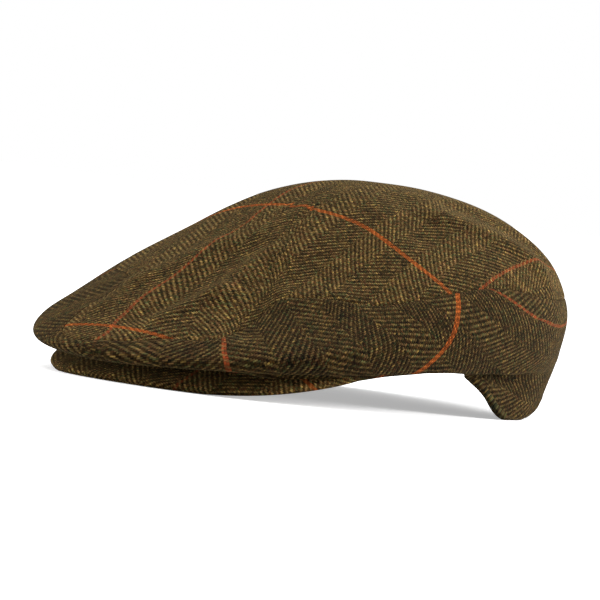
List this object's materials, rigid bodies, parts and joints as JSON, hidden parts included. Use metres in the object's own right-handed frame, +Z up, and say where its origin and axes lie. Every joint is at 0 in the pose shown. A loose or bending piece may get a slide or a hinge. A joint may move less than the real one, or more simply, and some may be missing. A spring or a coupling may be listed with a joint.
{
  "type": "flat cap",
  "caption": "Tweed flat cap: a soft rounded crown of a top panel and two side panels, turned under along its lip over a stiff curved peak.",
  "frame": {"origin": "middle of the cap's outline on the surface it rests on", "axes": "the peak points to -Y, the wearer's left is +X, +Z is up"},
  "size_m": [0.206, 0.2686, 0.0986],
  "materials": {
    "top_tweed": "brushed wool herringbone tweed with a rust overcheck",
    "side_tweed": "brushed wool herringbone tweed with a rust overcheck",
    "peak_tweed": "brushed wool herringbone tweed over a stiff board"
  },
  "bodies": {
    "root": {"crown_top": "top_tweed", "side_left": "side_tweed", "side_right": "side_tweed", "peak": "peak_tweed"}
  },
  "joints": []
}
